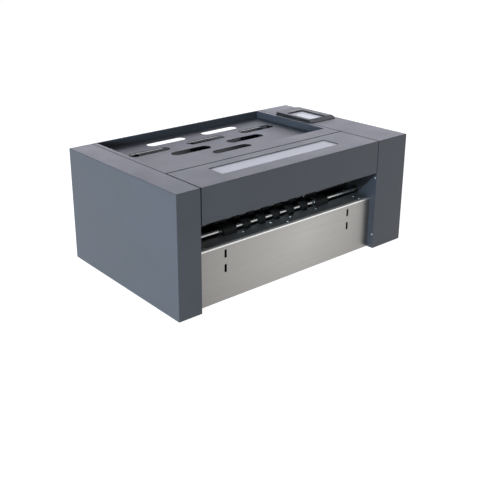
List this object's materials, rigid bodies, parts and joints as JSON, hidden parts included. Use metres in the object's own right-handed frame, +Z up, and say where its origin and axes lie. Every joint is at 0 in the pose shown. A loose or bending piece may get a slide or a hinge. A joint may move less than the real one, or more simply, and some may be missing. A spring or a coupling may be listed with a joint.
{
  "type": "desktop paper creasing machine",
  "caption": "Desktop paper creaser and cutter: two side covers, hinged hood over a roller exit, steel front plate, slotted top tray and a touch display.",
  "frame": {"origin": "on the table top under the middle of the machine, at the feet's underside", "axes": "+X to the right seen from the sheet exit, +Y from the exit (front) to the feed (rear), +Z up"},
  "size_m": [0.606, 0.37, 0.2495],
  "materials": {
    "powder_coat": "satin powder coat",
    "frame_black": "semi-gloss",
    "stainless": "brushed",
    "ground_steel": "ground",
    "tool_steel": "ground",
    "zinc_steel": "zinc plated",
    "aluminium": "milled",
    "rubber_black": "matte",
    "plastic_black": "matte",
    "acetal_white": "matte",
    "inlay_grey": "satin",
    "screen": "gloss",
    "circuit_board": "satin"
  },
  "bodies": {
    "housing": {"base_pan": "powder_coat", "rubber_feet": "rubber_black", "side_frames": "frame_black", "cross_channels": "frame_black", "tool_beam": "frame_black", "front_plate": "stainless", "exit_table": "frame_black", "shaft_supports": "plastic_black", "left_cover": "powder_coat", "right_cover": "powder_coat", "rear_panel": "powder_coat", "top_tray": "powder_coat", "hood_pins": "ground_steel", "shaft_bearings": "ground_steel", "pinch_blocks": "acetal_white", "pinch_springs": "tool_steel", "drive_belt": "rubber_black", "feed_motor": "frame_black", "motor_standoffs": "zinc_steel", "head_guides": "aluminium", "head_gearmotors": "zinc_steel", "crease_die": "tool_steel", "counter_knife": "tool_steel", "feed_table": "zinc_steel", "feed_guide": "zinc_steel", "sheet_sensors": "plastic_black", "display_bezel": "plastic_black", "touch_screen": "screen", "power_inlet": "plastic_black", "switch_housing": "plastic_black", "power_supply": "zinc_steel", "control_board": "circuit_board", "case_screws": "zinc_steel"},
    "hood": {"hood_shell": "powder_coat", "hood_inlay": "inlay_grey"},
    "exit_roller": {"exit_shaft": "ground_steel", "exit_rollers": "rubber_black", "exit_pulley": "aluminium"},
    "transfer_pinch_roller": {"transfer_pinch_shaft": "ground_steel", "transfer_pinch_rollers": "rubber_black"},
    "transfer_roller": {"transfer_shaft": "ground_steel", "transfer_rollers": "rubber_black", "transfer_pulley": "aluminium"},
    "feed_roller": {"feed_shaft": "ground_steel", "feed_rollers": "rubber_black", "feed_pulley": "aluminium"},
    "feed_pinch_roller": {"feed_pinch_shaft": "ground_steel", "feed_pinch_rollers": "rubber_black"},
    "drive_pulley": {"motor_pulley": "aluminium"},
    "crease_cam": {"crease_camshaft": "ground_steel"},
    "crease_head": {"crease_beam": "aluminium", "crease_yokes": "zinc_steel", "crease_blade": "tool_steel"},
    "cutter_cam": {"cutter_camshaft": "ground_steel"},
    "cutter_head": {"cutter_beam": "aluminium", "cutter_yokes": "zinc_steel", "cutter_knife": "tool_steel"},
    "sheet_fence": {"side_guide": "powder_coat"},
    "waste_bin": {"offcut_bin": "zinc_steel"},
    "mains_rocker": {"rocker": "plastic_black"}
  },
  "joints": [
    {"name": "hood_hinge", "type": "hinge", "parent": "housing", "child": "hood", "pos_m": [-0.0185, -0.093, 0.24], "axis": [-1, 0, 0], "range_deg": [0, 145]},
    {"name": "exit_roller_spin", "type": "hinge", "parent": "housing", "child": "exit_roller", "pos_m": [-0.0185, -0.126, 0.1235], "axis": [1, 0, 0], "continuous": true},
    {"name": "transfer_roller_spin", "type": "hinge", "parent": "housing", "child": "transfer_roller", "pos_m": [-0.0185, -0.0923, 0.128], "axis": [1, 0, 0], "continuous": true},
    {"name": "transfer_pinch_spin", "type": "hinge", "parent": "housing", "child": "transfer_pinch_roller", "pos_m": [-0.0185, -0.0963, 0.14872], "axis": [1, 0, 0], "continuous": true},
    {"name": "feed_roller_spin", "type": "hinge", "parent": "housing", "child": "feed_roller", "pos_m": [-0.0185, 0.0103, 0.128], "axis": [1, 0, 0], "continuous": true},
    {"name": "feed_pinch_spin", "type": "hinge", "parent": "housing", "child": "feed_pinch_roller", "pos_m": [-0.0185, 0.0143, 0.14872], "axis": [1, 0, 0], "continuous": true},
    {"name": "drive_pulley_spin", "type": "hinge", "parent": "housing", "child": "drive_pulley", "pos_m": [0.231, -0.05785, 0.06], "axis": [1, 0, 0], "continuous": true},
    {"name": "crease_head_slide", "type": "slide", "parent": "housing", "child": "crease_head", "axis": [0, 0, -1], "range_m": [0, 0.006]},
    {"name": "crease_cam_turn", "type": "hinge", "parent": "housing", "child": "crease_cam", "pos_m": [-0.0185, -0.027, 0.202], "axis": [1, 0, 0], "range_deg": [0, 180]},
    {"name": "cutter_head_slide", "type": "slide", "parent": "housing", "child": "cutter_head", "axis": [0, 0, -1], "range_m": [0, 0.008]},
    {"name": "cutter_cam_turn", "type": "hinge", "parent": "housing", "child": "cutter_cam", "pos_m": [-0.0185, -0.065, 0.202], "axis": [1, 0, 0], "range_deg": [0, 180]},
    {"name": "fence_slide", "type": "slide", "parent": "housing", "child": "sheet_fence", "axis": [1, 0, 0], "range_m": [-0.1, 0.02]},
    {"name": "bin_slide", "type": "slide", "parent": "housing", "child": "waste_bin", "axis": [0, 1, 0], "range_m": [0, 0.25]},
    {"name": "rocker_tilt", "type": "hinge", "parent": "housing", "child": "mains_rocker", "pos_m": [0.281, 0.179, 0.045], "axis": [-1, 0, 0], "range_deg": [0, 20]}
  ],
  "couplings": [
    {"joint": "transfer_roller_spin", "follows": "exit_roller_spin", "ratio": 1},
    {"joint": "transfer_pinch_spin", "follows": "exit_roller_spin", "ratio": -1},
    {"joint": "feed_roller_spin", "follows": "exit_roller_spin", "ratio": 1},
    {"joint": "feed_pinch_spin", "follows": "exit_roller_spin", "ratio": -1},
    {"joint": "drive_pulley_spin", "follows": "exit_roller_spin", "ratio": 1.625},
    {"joint": "crease_cam_turn", "follows": "crease_head_slide", "rad_per_m": 523.59},
    {"joint": "cutter_cam_turn", "follows": "cutter_head_slide", "rad_per_m": 392.69}
  ]
}
